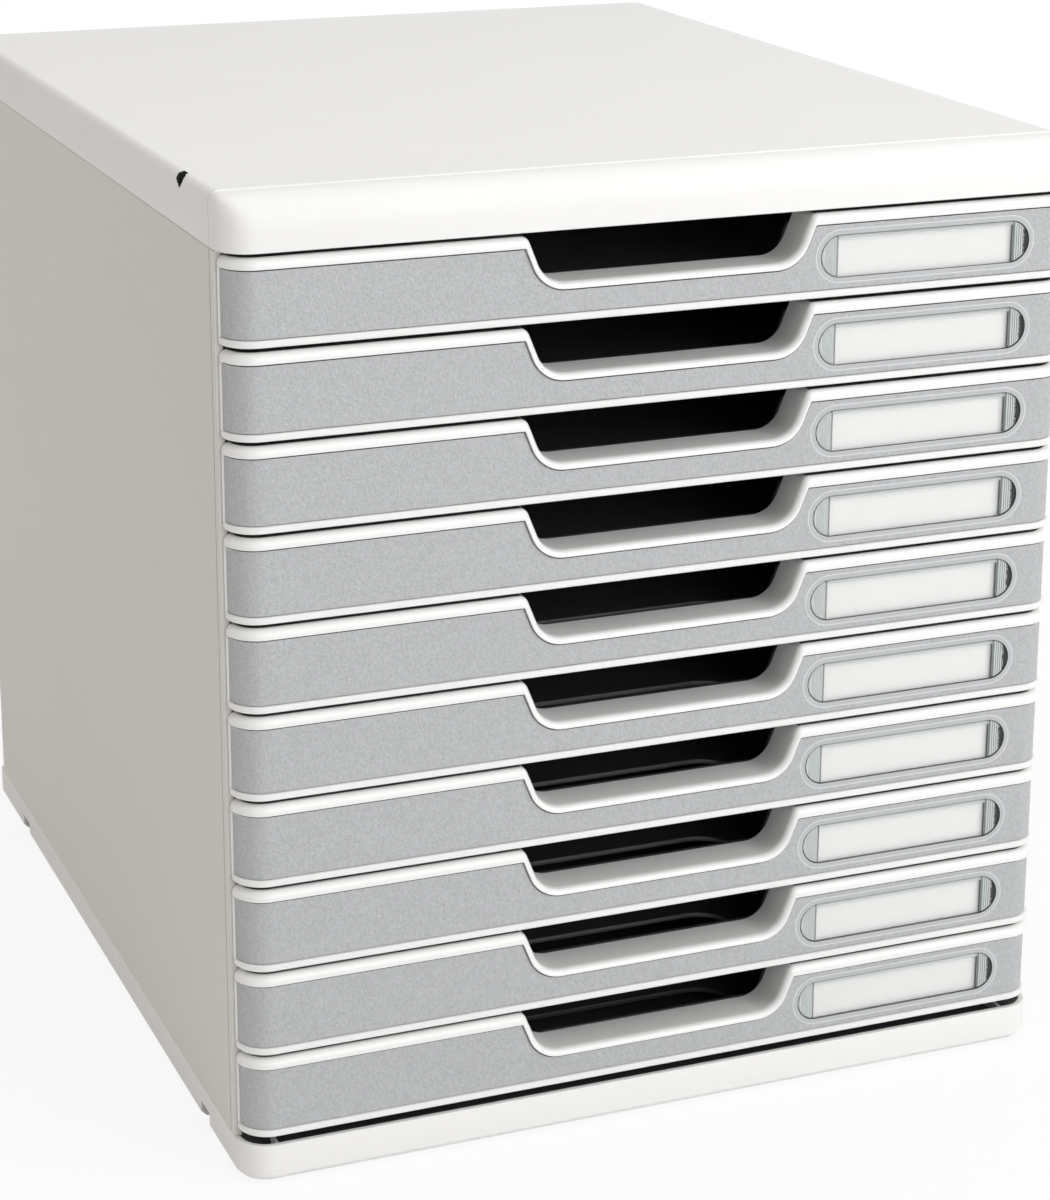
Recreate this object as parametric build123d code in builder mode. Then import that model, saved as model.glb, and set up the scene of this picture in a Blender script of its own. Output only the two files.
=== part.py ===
from build123d import *
import math
import os

os.makedirs("parts", exist_ok=True)

# Overall size of the unit in millimetres; origin under the middle of the footprint, front at -Y
WIDTH = 288.0
DEPTH = 350.0
HEIGHT = 320.0
HALF_W = WIDTH / 2
FRONT_Y = -DEPTH / 2
BACK_Y = DEPTH / 2
CORNER_R = 10.5
SEAT_GAP = 0.3
OVER = 1.0

# Casing shells: base tray below, cover above, side panels between
FOOT_DROP = 1.0
SHELL = 2.2
RIM_Z = 13.6
COVER_H = 17.5
SKIRT_Z = HEIGHT - COVER_H
BASE_EDGE = 2.0
COVER_EDGE_R = 3.0
FASCIA_R = 11.0
CORE_BEVEL = 6.0
RIDGE_BEHIND = 13.2
RIDGE_Y = FRONT_Y + RIDGE_BEHIND
RIDGE_W = 1.6
RIDGE_UP = 0.5
DECK_Z = HEIGHT - RIDGE_UP
SKIN_T = 2.5
PANEL_T = 2.5
PANEL_FRONT = FRONT_Y + CORNER_R
PANEL_IN = HALF_W - PANEL_T

# Drawer grid: the lowest front starts at LOW_Z, the others follow at PITCH
DRAWERS = 10
FRONT_GAP = 1.5
COVER_GAP = 1.4
BASE_GAP = 3.0
LOW_Z = RIM_Z + BASE_GAP
PITCH = (SKIRT_Z - COVER_GAP - LOW_Z + FRONT_GAP) / DRAWERS
FRONT_H = PITCH - FRONT_GAP
SIDE_STEP = 1.0
FRONT_HALF = HALF_W - SIDE_STEP
FRONT_DEEP = 14.5
CORNER_STEP = 0.4
FRONT_R = CORNER_R - CORNER_STEP
FRONT_BACK = FRONT_Y + FRONT_DEEP
SHOULDER_GAP = 1.2
SHOULDER_HALF = PANEL_IN - SHOULDER_GAP

# Face plate set into the front
STRIP_LOW = 2.6
STRIP_TOP = 3.8
PLATE_H = FRONT_H - STRIP_LOW - STRIP_TOP
PLATE_SET = 0.8
PLATE_T = 1.2
PLATE_SHORT = 3.4
PLATE_END = PANEL_FRONT - PLATE_SHORT
PLATE_LOW = LOW_Z + STRIP_LOW
PLATE_TOP = PLATE_LOW + PLATE_H
PLATE_BACK = PLATE_SET + PLATE_T
SEAT_DEEP = PLATE_BACK + SEAT_GAP

# Hand notch in the front: floor, two round corners, flanks leaning outwards
NOTCH_X = 35.7
NOTCH_R = 9.5
NOTCH_DEEP = 14.9
NOTCH_FLOOR = LOW_Z + FRONT_H - NOTCH_DEEP
NOTCH_TURN = 68.0
NOTCH_TIP_R = 3.0
NOTCH_RIM = 2.4

# Label window
LENS_BESIDE = 15.7
LENS_FROM = NOTCH_X + LENS_BESIDE
LENS_END = 16.8
LENS_L = FRONT_HALF - LENS_END - LENS_FROM
LENS_X = LENS_FROM + LENS_L / 2
LENS_Z = PLATE_LOW + PLATE_H / 2
LENS_H = 13.3
LENS_T = 1.3
CARD_SHORT = 12.0
CARD_L = LENS_L - CARD_SHORT
CARD_LOWER = 2.3
CARD_H = LENS_H - CARD_LOWER
CARD_T = 0.3

# Drawer tray
TRAY_SIDE_GAP = 8.5
TRAY_HALF = PANEL_IN - TRAY_SIDE_GAP
TRAY_T = 1.8
TRAY_SAG = 0.6
TRAY_LOW = LOW_Z - TRAY_SAG
RIM_DROP = 5.1
TRAY_RIM = LOW_Z + FRONT_H - RIM_DROP
TRAY_FRONT = FRONT_BACK + SEAT_GAP
TRAY_REAR_GAP = 11.5
TRAY_BACK = BACK_Y - TRAY_REAR_GAP
FLANGE_T = 2.0
FLANGE_GAP = 0.9
FLANGE_HALF = PANEL_IN - FLANGE_GAP
FLANGE_FRONT = TRAY_FRONT + FLANGE_T
CUT_MORE = 6.8
CUT_HALF = NOTCH_X + CUT_MORE
CUT_BEHIND = 5.7
CUT_L = 26.5
CUT_FRONT = TRAY_FRONT + CUT_BEHIND
CUT_BACK = CUT_FRONT + CUT_L
CUT_R = 12.0
WALL_CUT_LOW = NOTCH_X + NOTCH_R * math.tan(math.radians(NOTCH_TURN / 2)) + SEAT_GAP
WALL_CUT_TOP = WALL_CUT_LOW + (TRAY_RIM + OVER - NOTCH_FLOOR) / math.tan(math.radians(NOTCH_TURN))
LUG_AHEAD = 65.5
LUG_Y = TRAY_BACK - LUG_AHEAD
LUG_L = 5.0
LUG_H = 1.2
LUG_W = 6.0
CLIP_IN = 47.0
CLIP_X = FRONT_HALF - CLIP_IN
CLIP_W = 14.0
CLIP_T = 1.6
CLIP_LONG = 7.5
CLIP_UP = 6.0
CLIP_Z = LOW_Z + CLIP_UP

# Runners on the side panels
LEDGE_T = 1.8
LEDGE_GAP = 0.6
LEDGE_TIP = TRAY_HALF + LEDGE_GAP
LEDGE_TOP = TRAY_RIM - FLANGE_T - SEAT_GAP
LEDGE_SET = 1.2
LEDGE_FRONT = FRONT_BACK + LEDGE_SET
LEDGE_REAR = 7.0
LEDGE_BACK = BACK_Y - LEDGE_REAR
GUIDE_GAP = 1.7
GUIDE_LOW = TRAY_RIM + GUIDE_GAP
GUIDE_T = 1.5
STOP_L = 4.0
RUNNER_ROOT = 0.5
RUNNER_IN = PANEL_IN + RUNNER_ROOT

# Tabs of the side panels, stacking slots and feet
TAB_W = 20.0
TAB_T = 2.1
TAB_REACH = 6.0
TAB_ROOT = 4.0
TAB_END = 65.0
TAB_STEP = BACK_Y - TAB_END
SLOT_END = 45.0
SLOT_Y = BACK_Y - SLOT_END
SLOT_L = 10.0
SLOT_W = 7.0
SLOT_DEEP = 6.0
FOOT_R = 7.0
FOOT_SIDES = 12
FOOT_IN = 26.0
FOOT_END = 25.0
FOOT_X = HALF_W - FOOT_IN
FOOT_Y = BACK_Y - FOOT_END
FOOT_SEAT = 0.8
RETURN_L = 10.0
RETURN_R = 5.0
GROOVE_BEHIND = 3.7
GROOVE_Y = PANEL_FRONT + GROOVE_BEHIND
GROOVE_W = 0.8
GROOVE_DEEP = 0.7
RIB_T = 1.5
RIB_END = 7.5
RIB_HALF = BACK_Y - RIB_END
BASE_RIB_IN = 44.0
BASE_RIB_X = HALF_W - BASE_RIB_IN
CATCH_L = 8.0
CATCH_BEHIND = 5.0
CATCH_Y = FRONT_Y + CATCH_BEHIND
BACK_T = 2.0
FLOOR_T = 2.0
FLOOR_IN = 13.5
FLOOR_HALF = HALF_W - FLOOR_IN
FLOOR_DROP = 3.4
FLOOR_TOP = RIM_Z - FLOOR_DROP


def plan(half, front, back, radius):
    """Plan outline of the unit: straight sides, both front corners rounded."""
    with BuildSketch() as face:
        with Locations((0, (front + back) / 2)):
            Rectangle(2 * half, back - front)
        fillet(face.vertices().sort_by(Axis.Y)[:2], radius)
    return face.sketch


def notch(margin):
    """Hand notch seen from the front, grown outwards by a margin."""
    radius = NOTCH_R + margin
    low = NOTCH_FLOOR - margin
    mid = NOTCH_FLOOR + NOTCH_R
    turn = math.radians(NOTCH_TURN)
    side_x = NOTCH_X + radius * math.sin(turn)
    side_z = mid - radius * math.cos(turn)
    top_z = LOW_Z + FRONT_H + radius
    top_x = side_x + (top_z - side_z) * math.cos(turn) / math.sin(turn)
    with BuildSketch() as face:
        with BuildLine():
            Line((-NOTCH_X, low), (NOTCH_X, low))
            CenterArc((NOTCH_X, mid), radius, -90, NOTCH_TURN)
            Line((side_x, side_z), (top_x, top_z))
            Line((top_x, top_z), (-top_x, top_z))
            Line((-top_x, top_z), (-side_x, side_z))
            CenterArc((-NOTCH_X, mid), radius, -90, -NOTCH_TURN)
        make_face()
    return face.sketch


def stadium(length, height):
    """Round-ended window outline around the label's middle."""
    with BuildSketch() as face:
        with Locations((LENS_X, LENS_Z)):
            SlotOverall(length, height)
    return face.sketch


# Cover, hollow first: a plain core one wall thickness inside, bevelled where the shell is round
with BuildPart() as cover_core:
    with BuildSketch(Plane.XY.offset(SKIRT_Z)) as hollow:
        Rectangle(2 * (HALF_W - SHELL), 2 * (BACK_Y - SHELL))
        chamfer(hollow.vertices().sort_by(Axis.Y)[:2], CORE_BEVEL)
    extrude(amount=DECK_Z - SKIN_T - SKIRT_Z)
    nose_edge = cover_core.edges().group_by(Axis.Z)[-1].sort_by(Axis.Y)[0]
    chamfer(nose_edge, FASCIA_R - SKIN_T)

# Cover: plan outline, side profile with the rounded fascia, and end profile with soft long edges,
# each carried through the others; then the bead, the hollow, the side grooves and four stacking slots
with BuildPart() as top_cover:
    with BuildSketch(Plane.XY.offset(SKIRT_Z)):
        add(plan(HALF_W, FRONT_Y, BACK_Y, CORNER_R))
    extrude(amount=DECK_Z - SKIRT_Z)
    with BuildSketch(Plane.YZ):
        with BuildLine():
            Line((FRONT_Y, SKIRT_Z), (FRONT_Y, DECK_Z - FASCIA_R))
            CenterArc((FRONT_Y + FASCIA_R, DECK_Z - FASCIA_R), FASCIA_R, 180, -90)
            Line((FRONT_Y + FASCIA_R, DECK_Z), (BACK_Y, DECK_Z))
            Line((BACK_Y, DECK_Z), (BACK_Y, SKIRT_Z))
            Line((BACK_Y, SKIRT_Z), (FRONT_Y, SKIRT_Z))
        make_face()
    extrude(amount=HALF_W, both=True, mode=Mode.INTERSECT)
    with BuildSketch(Plane.XZ.offset(-BACK_Y)) as deck:
        with Locations((0, (SKIRT_Z + DECK_Z) / 2)):
            Rectangle(WIDTH, DECK_Z - SKIRT_Z)
        fillet(deck.vertices().sort_by(Axis.Y)[-2:], COVER_EDGE_R)
    extrude(amount=DEPTH, mode=Mode.INTERSECT)
    with BuildSketch(Plane.XZ.offset(-RIDGE_Y - RIDGE_W / 2)) as bead:
        with Locations((0, (SKIRT_Z + HEIGHT) / 2)):
            Rectangle(WIDTH, HEIGHT - SKIRT_Z)
        fillet(bead.vertices().sort_by(Axis.Y)[-2:], COVER_EDGE_R)
    extrude(amount=RIDGE_W)
    add(cover_core.part, mode=Mode.SUBTRACT)
    with Locations((-HALF_W, GROOVE_Y, HEIGHT / 2), (HALF_W, GROOVE_Y, HEIGHT / 2)):
        Box(2 * GROOVE_DEEP, GROOVE_W, HEIGHT, mode=Mode.SUBTRACT)
    with Locations(*[(x * (HALF_W - SLOT_W / 2 + OVER), y * SLOT_Y, HEIGHT) for x in (-1, 1) for y in (-1, 1)]):
        Box(SLOT_W + 2 * OVER, SLOT_L, 2 * SLOT_DEEP, mode=Mode.SUBTRACT)
    top_cover.part.label = "top_cover"

# Base: open tray with a front lip, ribs for the floor plate, slots and foot seats
with BuildPart() as base:
    with BuildSketch(Plane.XY.offset(FOOT_DROP)):
        add(plan(HALF_W, FRONT_Y, BACK_Y, CORNER_R))
    extrude(amount=RIM_Z - FOOT_DROP)
    foot_rim = base.edges().group_by(Axis.Z)[0].sort_by(Axis.Y)[:-1]
    chamfer(foot_rim, BASE_EDGE)
    with BuildSketch(Plane.XY.offset(FOOT_DROP + SHELL)):
        add(plan(HALF_W - SHELL, FRONT_Y + SHELL, BACK_Y - SHELL, CORNER_R - SHELL))
    extrude(amount=RIM_Z, mode=Mode.SUBTRACT)
    with BuildSketch(Plane.XY.offset(FOOT_DROP + SHELL)):
        with GridLocations(BASE_RIB_X, 1, 3, 1):
            Rectangle(RIB_T, 2 * RIB_HALF)
    extrude(amount=FLOOR_TOP - FLOOR_T - SEAT_GAP - FOOT_DROP - SHELL)
    # Upright catches beside the floor plate, close behind the lip
    with BuildSketch(Plane.XY.offset(FOOT_DROP + SHELL)):
        with Locations((-FLOOR_HALF - RIB_T, CATCH_Y), (FLOOR_HALF + RIB_T, CATCH_Y)):
            Rectangle(RIB_T, CATCH_L)
    extrude(amount=RIM_Z - FOOT_DROP - SHELL - OVER)
    with Locations(*[(x * (HALF_W - SLOT_W / 2 + OVER), y * SLOT_Y, FOOT_DROP) for x in (-1, 1) for y in (-1, 1)]):
        Box(SLOT_W + 2 * OVER, SLOT_L, 2 * SLOT_DEEP, mode=Mode.SUBTRACT)
    with BuildSketch(Plane.XY.offset(FOOT_DROP)):
        with GridLocations(2 * FOOT_X, 2 * FOOT_Y, 2, 2):
            RegularPolygon(FOOT_R + SEAT_GAP, FOOT_SIDES)
    extrude(amount=FOOT_SEAT, mode=Mode.SUBTRACT)
    base.part.label = "base"

# Floor plate: black sheet lying on the base's ribs
with BuildPart() as floor_plate:
    with BuildSketch(Plane.XY.offset(FLOOR_TOP - FLOOR_T)):
        Rectangle(2 * FLOOR_HALF, 2 * RIB_HALF)
    extrude(amount=FLOOR_T)
    floor_plate.part.label = "floor_plate"

# Left side panel: skin with a rear return, front groove, ten runners and six tabs
with BuildPart() as left_side:
    with BuildSketch(Plane.XY.offset(RIM_Z + SEAT_GAP)) as wall:
        with Locations((-HALF_W + RETURN_L / 2, (PANEL_FRONT + BACK_Y) / 2)):
            Rectangle(RETURN_L, BACK_Y - PANEL_FRONT)
        fillet(wall.vertices().group_by(Axis.Y)[-1].sort_by(Axis.X)[0], RETURN_R)
        with BuildSketch(mode=Mode.PRIVATE) as inside:
            with Locations((-PANEL_IN + RETURN_L / 2, (PANEL_FRONT + BACK_Y) / 2 - PANEL_T)):
                Rectangle(RETURN_L, BACK_Y - PANEL_FRONT)
            fillet(inside.vertices().group_by(Axis.Y)[-1].sort_by(Axis.X)[0], RETURN_R - PANEL_T)
        add(inside.sketch, mode=Mode.SUBTRACT)
    extrude(amount=SKIRT_Z - RIM_Z - 2 * SEAT_GAP)
    with Locations((-HALF_W, GROOVE_Y, HEIGHT / 2)):
        Box(2 * GROOVE_DEEP, GROOVE_W, HEIGHT, mode=Mode.SUBTRACT)
    with Locations(*[(-(LEDGE_TIP + RUNNER_IN) / 2, 0, PITCH * step) for step in range(DRAWERS)]):
        with Locations((0, (LEDGE_FRONT + LEDGE_BACK) / 2, LEDGE_TOP - LEDGE_T / 2)):
            Box(RUNNER_IN - LEDGE_TIP, LEDGE_BACK - LEDGE_FRONT, LEDGE_T)
        with Locations((0, (LEDGE_FRONT + LEDGE_BACK) / 2, GUIDE_LOW + GUIDE_T / 2)):
            Box(RUNNER_IN - LEDGE_TIP, LEDGE_BACK - LEDGE_FRONT, GUIDE_T)
        with Locations((0, LEDGE_FRONT + STOP_L / 2, (TRAY_RIM + SEAT_GAP + GUIDE_LOW + OVER) / 2)):
            Box(RUNNER_IN - LEDGE_TIP, STOP_L, GUIDE_LOW + OVER - TRAY_RIM - SEAT_GAP)
    tab_ends = ((RIM_Z + SEAT_GAP + TAB_ROOT, Align.MAX), (SKIRT_Z - SEAT_GAP - TAB_ROOT, Align.MIN))
    for edge_z, side in tab_ends:
        with Locations(*[(-PANEL_IN + TAB_T / 2, y, edge_z) for y in (-TAB_STEP, 0, TAB_STEP)]):
            Box(TAB_T, TAB_W, TAB_REACH + TAB_ROOT, align=(Align.CENTER, Align.CENTER, side))
    left_side.part.label = "left_side"

# Right side panel: the same panel mirrored
with BuildPart() as right_side:
    add(mirror(left_side.part, about=Plane.YZ))
    right_side.part.label = "right_side"

# Back panel: plain sheet caught between the runners' ends and the rear returns
with BuildPart() as back_panel:
    with BuildSketch(Plane.XY.offset(FOOT_DROP + SHELL + SEAT_GAP)):
        with Locations((0, BACK_Y - PANEL_T - SEAT_GAP - BACK_T / 2)):
            Rectangle(2 * (HALF_W - RETURN_R - SEAT_GAP), BACK_T)
    extrude(amount=SKIRT_Z + TAB_ROOT - FOOT_DROP - SHELL - SEAT_GAP)
    back_panel.part.label = "back_panel"

# Feet: four twelve-sided rubber pads seated in recesses of the base
with BuildPart() as foot:
    with BuildSketch(Plane.XY):
        RegularPolygon(FOOT_R, FOOT_SIDES)
    extrude(amount=FOOT_DROP + FOOT_SEAT - SEAT_GAP)

# Drawer front, cutting body first: the seat of the face plate, bent round both corners
with BuildPart() as plate_seat:
    with BuildSketch(Plane.XY.offset(PLATE_LOW - SEAT_GAP)):
        add(plan(FRONT_HALF + OVER, FRONT_Y - OVER, FRONT_BACK, FRONT_R + OVER))
        add(plan(FRONT_HALF - SEAT_DEEP, FRONT_Y + SEAT_DEEP, FRONT_BACK, FRONT_R - SEAT_DEEP), mode=Mode.SUBTRACT)
        with Locations((0, PLATE_END + SEAT_GAP + FRONT_DEEP / 2)):
            Rectangle(2 * WIDTH, FRONT_DEEP, mode=Mode.SUBTRACT)
    extrude(amount=PLATE_H + 2 * SEAT_GAP)
    with BuildSketch(Plane.XZ.offset(-FRONT_BACK)):
        add(notch(NOTCH_RIM - SEAT_GAP))
    extrude(amount=FRONT_DEEP + OVER, mode=Mode.SUBTRACT)

# Drawer front: moulding with hand notch, rounded tips and a shoulder behind the corners
with BuildPart() as front:
    with BuildSketch(Plane.XY.offset(LOW_Z)):
        add(plan(FRONT_HALF, FRONT_Y, PANEL_FRONT - SEAT_GAP, FRONT_R))
    extrude(amount=FRONT_H)
    with BuildSketch(Plane.XZ.offset(-PANEL_FRONT)):
        add(notch(0))
    extrude(amount=FRONT_DEEP, mode=Mode.SUBTRACT)
    tips = front.edges().filter_by(Axis.Y).group_by(Axis.Z)[-1]
    fillet(tips.sort_by(lambda e: abs(e.center().X))[:2], NOTCH_TIP_R)
    with BuildSketch(Plane.XY.offset(LOW_Z)):
        with Locations((0, (FRONT_BACK + PANEL_FRONT - OVER) / 2)):
            Rectangle(2 * SHOULDER_HALF, FRONT_BACK - PANEL_FRONT + OVER)
    extrude(amount=FRONT_H)
    with BuildSketch(Plane.XZ.offset(-FRONT_BACK)):
        add(notch(0))
    extrude(amount=FRONT_DEEP, mode=Mode.SUBTRACT)
    add(plate_seat.part, mode=Mode.SUBTRACT)
    # Shallow seat for the label card
    with BuildSketch(Plane.XZ.offset(-FRONT_Y - SEAT_DEEP - CARD_T - 2 * SEAT_GAP)):
        with Locations((LENS_X, LENS_Z)):
            Rectangle(CARD_L + 2 * SEAT_GAP, CARD_H + 2 * SEAT_GAP)
    extrude(amount=CARD_T + 2 * SEAT_GAP + OVER, mode=Mode.SUBTRACT)
    # Sockets in the back that take the tray's tongues
    with Locations(*[(x * CLIP_X, FRONT_BACK, CLIP_Z) for x in (-1, 1)]):
        Box(CLIP_W + 2 * SEAT_GAP, 2 * (CLIP_LONG + SEAT_GAP), CLIP_T + 2 * SEAT_GAP, mode=Mode.SUBTRACT)
    front.part.label = "front"

# Face plate: bent sheet that follows the front round both corners
with BuildPart() as insert:
    with BuildSketch(Plane.XY.offset(PLATE_LOW)):
        add(plan(FRONT_HALF - PLATE_SET, FRONT_Y + PLATE_SET, FRONT_BACK, FRONT_R - PLATE_SET))
        add(plan(FRONT_HALF - PLATE_BACK, FRONT_Y + PLATE_BACK, FRONT_BACK, FRONT_R - PLATE_BACK), mode=Mode.SUBTRACT)
        with Locations((0, PLATE_END + FRONT_DEEP / 2)):
            Rectangle(2 * WIDTH, FRONT_DEEP, mode=Mode.SUBTRACT)
    extrude(amount=PLATE_H)
    with BuildSketch(Plane.XZ.offset(-FRONT_BACK)):
        add(notch(NOTCH_RIM))
        add(stadium(LENS_L + 2 * SEAT_GAP, LENS_H + 2 * SEAT_GAP))
    extrude(amount=FRONT_DEEP + OVER, mode=Mode.SUBTRACT)
    insert.part.label = "insert"

# Window: clear round-ended lens, flush with the face plate
with BuildPart() as window:
    with BuildSketch(Plane.XZ.offset(-FRONT_Y - PLATE_SET - LENS_T)):
        add(stadium(LENS_L, LENS_H))
    extrude(amount=LENS_T)
    window.part.label = "window"

# Card: paper label lying in its seat behind the lens
with BuildPart() as card:
    with BuildSketch(Plane.XZ.offset(-FRONT_Y - SEAT_DEEP - SEAT_GAP - CARD_T)):
        with Locations((LENS_X, LENS_Z)):
            Rectangle(CARD_L, CARD_H)
    extrude(amount=CARD_T)
    card.part.label = "card"

# Tray: thin shell hung by two flanges, floor cut-out, notched front wall, tongues, stop lugs
with BuildPart() as tray:
    with BuildSketch(Plane.XY.offset(TRAY_LOW)) as bottom:
        with Locations((0, (TRAY_FRONT + TRAY_BACK) / 2)):
            Rectangle(2 * TRAY_HALF, TRAY_BACK - TRAY_FRONT)
    extrude(amount=TRAY_RIM - TRAY_LOW)
    with BuildSketch(Plane.XY.offset(TRAY_RIM - FLANGE_T)):
        with Locations((0, (FLANGE_FRONT + TRAY_BACK) / 2)):
            Rectangle(2 * FLANGE_HALF, TRAY_BACK - FLANGE_FRONT)
    extrude(amount=FLANGE_T)
    with BuildSketch(Plane.XY.offset(TRAY_LOW + TRAY_T)):
        with Locations((0, (TRAY_FRONT + TRAY_BACK) / 2)):
            Rectangle(2 * (TRAY_HALF - TRAY_T), TRAY_BACK - TRAY_FRONT - 2 * TRAY_T)
    extrude(amount=TRAY_RIM, mode=Mode.SUBTRACT)
    with BuildSketch(Plane.XZ.offset(-TRAY_FRONT - TRAY_T - OVER)):
        Polygon(
            (-WALL_CUT_TOP, TRAY_RIM + OVER),
            (-WALL_CUT_LOW, NOTCH_FLOOR - SEAT_GAP),
            (WALL_CUT_LOW, NOTCH_FLOOR - SEAT_GAP),
            (WALL_CUT_TOP, TRAY_RIM + OVER),
            align=None,
        )
    extrude(amount=TRAY_T + 2 * OVER, mode=Mode.SUBTRACT)
    with BuildSketch(Plane.XY.offset(TRAY_LOW - OVER)) as hole:
        with Locations((0, (CUT_FRONT + CUT_BACK) / 2)):
            Rectangle(2 * CUT_HALF, CUT_BACK - CUT_FRONT)
        fillet(hole.vertices().group_by(Axis.Y)[-1], CUT_R)
    extrude(amount=TRAY_T + 2 * OVER, mode=Mode.SUBTRACT)
    with Locations(*[(x * (FLANGE_HALF - LUG_W / 2), LUG_Y + LUG_L / 2, TRAY_RIM) for x in (-1, 1)]):
        Box(LUG_W, LUG_L, 2 * LUG_H)
    with Locations(*[(x * CLIP_X, TRAY_FRONT + TRAY_T, CLIP_Z) for x in (-1, 1)]):
        Box(CLIP_W, TRAY_T + CLIP_LONG, CLIP_T, align=(Align.CENTER, Align.MAX, Align.CENTER))
    tray.part.label = "tray"

# Write the casing
for piece in (top_cover, base, floor_plate, left_side, right_side, back_panel):
    export_step(piece.part, "parts/" + piece.part.label + ".step")
for name, x, y in (("fl", -1, -1), ("fr", 1, -1), ("bl", -1, 1), ("br", 1, 1)):
    pad = foot.part.moved(Location((x * FOOT_X, y * FOOT_Y, 0)))
    pad.label = "foot_" + name
    export_step(pad, "parts/" + pad.label + ".step")

# Write the ten drawers, number 01 at the top
for number in range(1, DRAWERS + 1):
    lift = Location((0, 0, PITCH * (DRAWERS - number)))
    for piece in (tray, front, insert, window, card):
        copy = piece.part.moved(lift)
        copy.label = piece.part.label + "_%02d" % number
        export_step(copy, "parts/" + copy.label + ".step")
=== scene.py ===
import math

import bpy
import numpy as np
from mathutils import Matrix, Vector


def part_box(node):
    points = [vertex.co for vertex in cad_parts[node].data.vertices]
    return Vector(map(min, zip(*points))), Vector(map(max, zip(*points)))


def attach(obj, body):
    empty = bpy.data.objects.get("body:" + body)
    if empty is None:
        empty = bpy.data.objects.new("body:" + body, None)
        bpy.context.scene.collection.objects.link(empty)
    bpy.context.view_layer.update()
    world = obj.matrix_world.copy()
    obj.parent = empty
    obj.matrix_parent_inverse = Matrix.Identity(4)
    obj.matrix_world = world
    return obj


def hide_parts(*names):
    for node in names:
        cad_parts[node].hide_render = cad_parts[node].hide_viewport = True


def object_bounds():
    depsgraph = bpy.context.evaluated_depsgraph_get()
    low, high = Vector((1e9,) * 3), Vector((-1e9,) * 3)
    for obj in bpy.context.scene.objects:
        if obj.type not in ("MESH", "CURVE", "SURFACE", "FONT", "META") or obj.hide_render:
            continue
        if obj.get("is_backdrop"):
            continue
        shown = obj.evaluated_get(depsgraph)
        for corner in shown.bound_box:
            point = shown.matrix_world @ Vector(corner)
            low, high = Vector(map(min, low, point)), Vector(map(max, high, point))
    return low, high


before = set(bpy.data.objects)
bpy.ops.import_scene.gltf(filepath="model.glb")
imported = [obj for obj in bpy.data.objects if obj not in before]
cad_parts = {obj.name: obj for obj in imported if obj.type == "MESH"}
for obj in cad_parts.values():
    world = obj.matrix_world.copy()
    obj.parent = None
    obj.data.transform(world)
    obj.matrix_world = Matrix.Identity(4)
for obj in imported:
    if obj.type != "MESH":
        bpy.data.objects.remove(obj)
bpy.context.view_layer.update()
MM = 0.001
DRAWERS, LOWEST = range(1, 11), 10

# Casing. Injection-moulded light polystyrene: a base tray, two side panels and a cover that snap
# together by tabs. All outer faces carry a fine spark-eroded texture that scatters the light.
STYRENE_IOR = 1.59
MOTTLE_PER_M = 14.0

# Rounds of moulded edges and of sheet, and the reach within which points become one, in mm.
EDGE_ROUND, SHEET_ROUND, WELD = 0.35, 0.3, 0.01
ROUND_STEPS = 3

# Angles between two faces: up to the first they become one, and from the others on their edge is rounded
# or split on a CAD piece, or shaded sharp on a modelled one.
SAME_FACE, ROUNDED_FROM, SPLIT_FROM, SHARP_FROM = (math.radians(angle) for angle in (1, 30, 40, 32))


def linear(code):
    """An sRGB colour, written as six hex digits, turned into linear light: c / 12.92 up to 0.04045, and
    ((c + 0.055) / 1.055) ^ 2.4 above."""
    parts = np.array([int(code[i:i + 2], 16) for i in (0, 2, 4)]) / 255
    light = np.where(parts <= 0.04045, parts / 12.92, ((parts + 0.055) / 1.055) ** 2.4)
    return (*light.tolist(), 1.0)


def add_node(tree, kind, inputs=None, **settings):
    """One shader node; a socket given as an input is linked, anything else is set as its value."""
    made = tree.nodes.new(kind)
    for key, value in settings.items():
        setattr(made, key, value)
    for key, value in (inputs or {}).items():
        if isinstance(value, bpy.types.NodeSocket):
            tree.links.new(value, made.inputs[key])
        else:
            made.inputs[key].default_value = value
    return made


def maths(tree, operation, *values):
    """One step of arithmetic on numbers or sockets."""
    return add_node(tree, "ShaderNodeMath", dict(enumerate(values)), operation=operation).outputs[0]


def ramp(tree, value, start, end, low=0.0, high=1.0):
    """Runs evenly from low to high while value goes from start to end, and stays level outside them."""
    return add_node(tree, "ShaderNodeMapRange", {
        "Value": value, "From Min": start, "From Max": end, "To Min": low, "To Max": high}).outputs[0]


def noise(tree, where, per_metre, detail, roughness=0.5):
    """Cloudy noise between 0 and 1, with that many of its coarsest lumps in a metre."""
    return add_node(tree, "ShaderNodeTexNoise", {
        "Vector": where, "Scale": per_metre, "Detail": detail, "Roughness": roughness}).outputs["Fac"]


def blend(tree, amount, first, second):
    """A colour between two, given as hex digits or as sockets: the first at 0, the second at 1."""
    first, second = (linear(tone) if isinstance(tone, str) else tone for tone in (first, second))
    mixed = add_node(tree, "ShaderNodeMix", {"Factor": amount, "A": first, "B": second}, data_type="RGBA")
    return mixed.outputs["Result"]


def new_material(name):
    """An empty node material with its output, and the Object coordinates in metres."""
    made = bpy.data.materials.new(name)
    made.use_nodes = True
    made.node_tree.nodes.clear()
    out = add_node(made.node_tree, "ShaderNodeOutputMaterial")
    where = add_node(made.node_tree, "ShaderNodeTexCoord").outputs["Object"]
    return made, made.node_tree, out, where


def finish_surface(tree, out, colour, roughness, **more):
    """The shader of a material, with the refractive index of polystyrene."""
    shader = add_node(tree, "ShaderNodeBsdfPrincipled", {
        "Base Color": colour, "Roughness": roughness, "IOR": STYRENE_IOR, **more})
    tree.links.new(shader.outputs["BSDF"], out.inputs["Surface"])


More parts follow.
